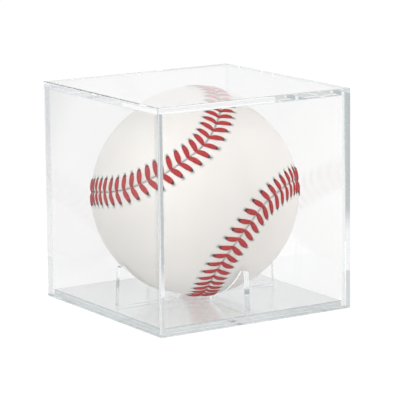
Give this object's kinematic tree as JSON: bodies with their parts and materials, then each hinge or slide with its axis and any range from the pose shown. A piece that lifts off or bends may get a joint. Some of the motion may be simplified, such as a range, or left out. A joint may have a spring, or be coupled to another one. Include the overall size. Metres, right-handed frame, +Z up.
{
  "type": "ball display cube",
  "caption": "Clear cube case with a lift-off cover over a located base, whose finned cradle holds a leather ball with a red stitched seam.",
  "frame": {"origin": "middle of the underside of the base plate, on the surface that the case stands on", "axes": "+Z up, the way the cover lifts off; -Y towards the front sheet; +X towards the right sheet"},
  "size_m": [0.08, 0.08, 0.08],
  "materials": {
    "clear_acrylic": "polished",
    "white_leather": "satin",
    "red_thread": "satin",
    "cotton_yarn": "matte",
    "grey_wool": "matte",
    "white_wool": "matte",
    "red_rubber": "matte",
    "black_rubber": "matte",
    "cork": "matte"
  },
  "bodies": {
    "base": {"base_plate": "clear_acrylic", "locating_plate": "clear_acrylic", "cradle_fin_front": "clear_acrylic", "cradle_fin_right": "clear_acrylic", "cradle_fin_back": "clear_acrylic", "cradle_fin_left": "clear_acrylic"},
    "ball": {"leather_panel_1": "white_leather", "leather_panel_2": "white_leather", "seam_stitching": "red_thread", "cotton_winding": "cotton_yarn", "outer_wool_winding": "grey_wool", "white_wool_winding": "white_wool", "inner_wool_winding": "grey_wool", "red_rubber_layer": "red_rubber", "black_rubber_shells": "black_rubber", "rubber_gasket": "red_rubber", "cork_core": "cork"},
    "cover": {"cover_top": "clear_acrylic", "cover_front": "clear_acrylic", "cover_back": "clear_acrylic", "cover_left": "clear_acrylic", "cover_right": "clear_acrylic"}
  },
  "joints": [
    {"name": "ball_lift", "type": "slide", "parent": "base", "child": "ball", "axis": [0, 0, 1], "range_m": [0, 0.06]},
    {"name": "cover_lift", "type": "slide", "parent": "ball", "child": "cover", "axis": [0, 0, 1], "range_m": [0, 0.09]}
  ]
}
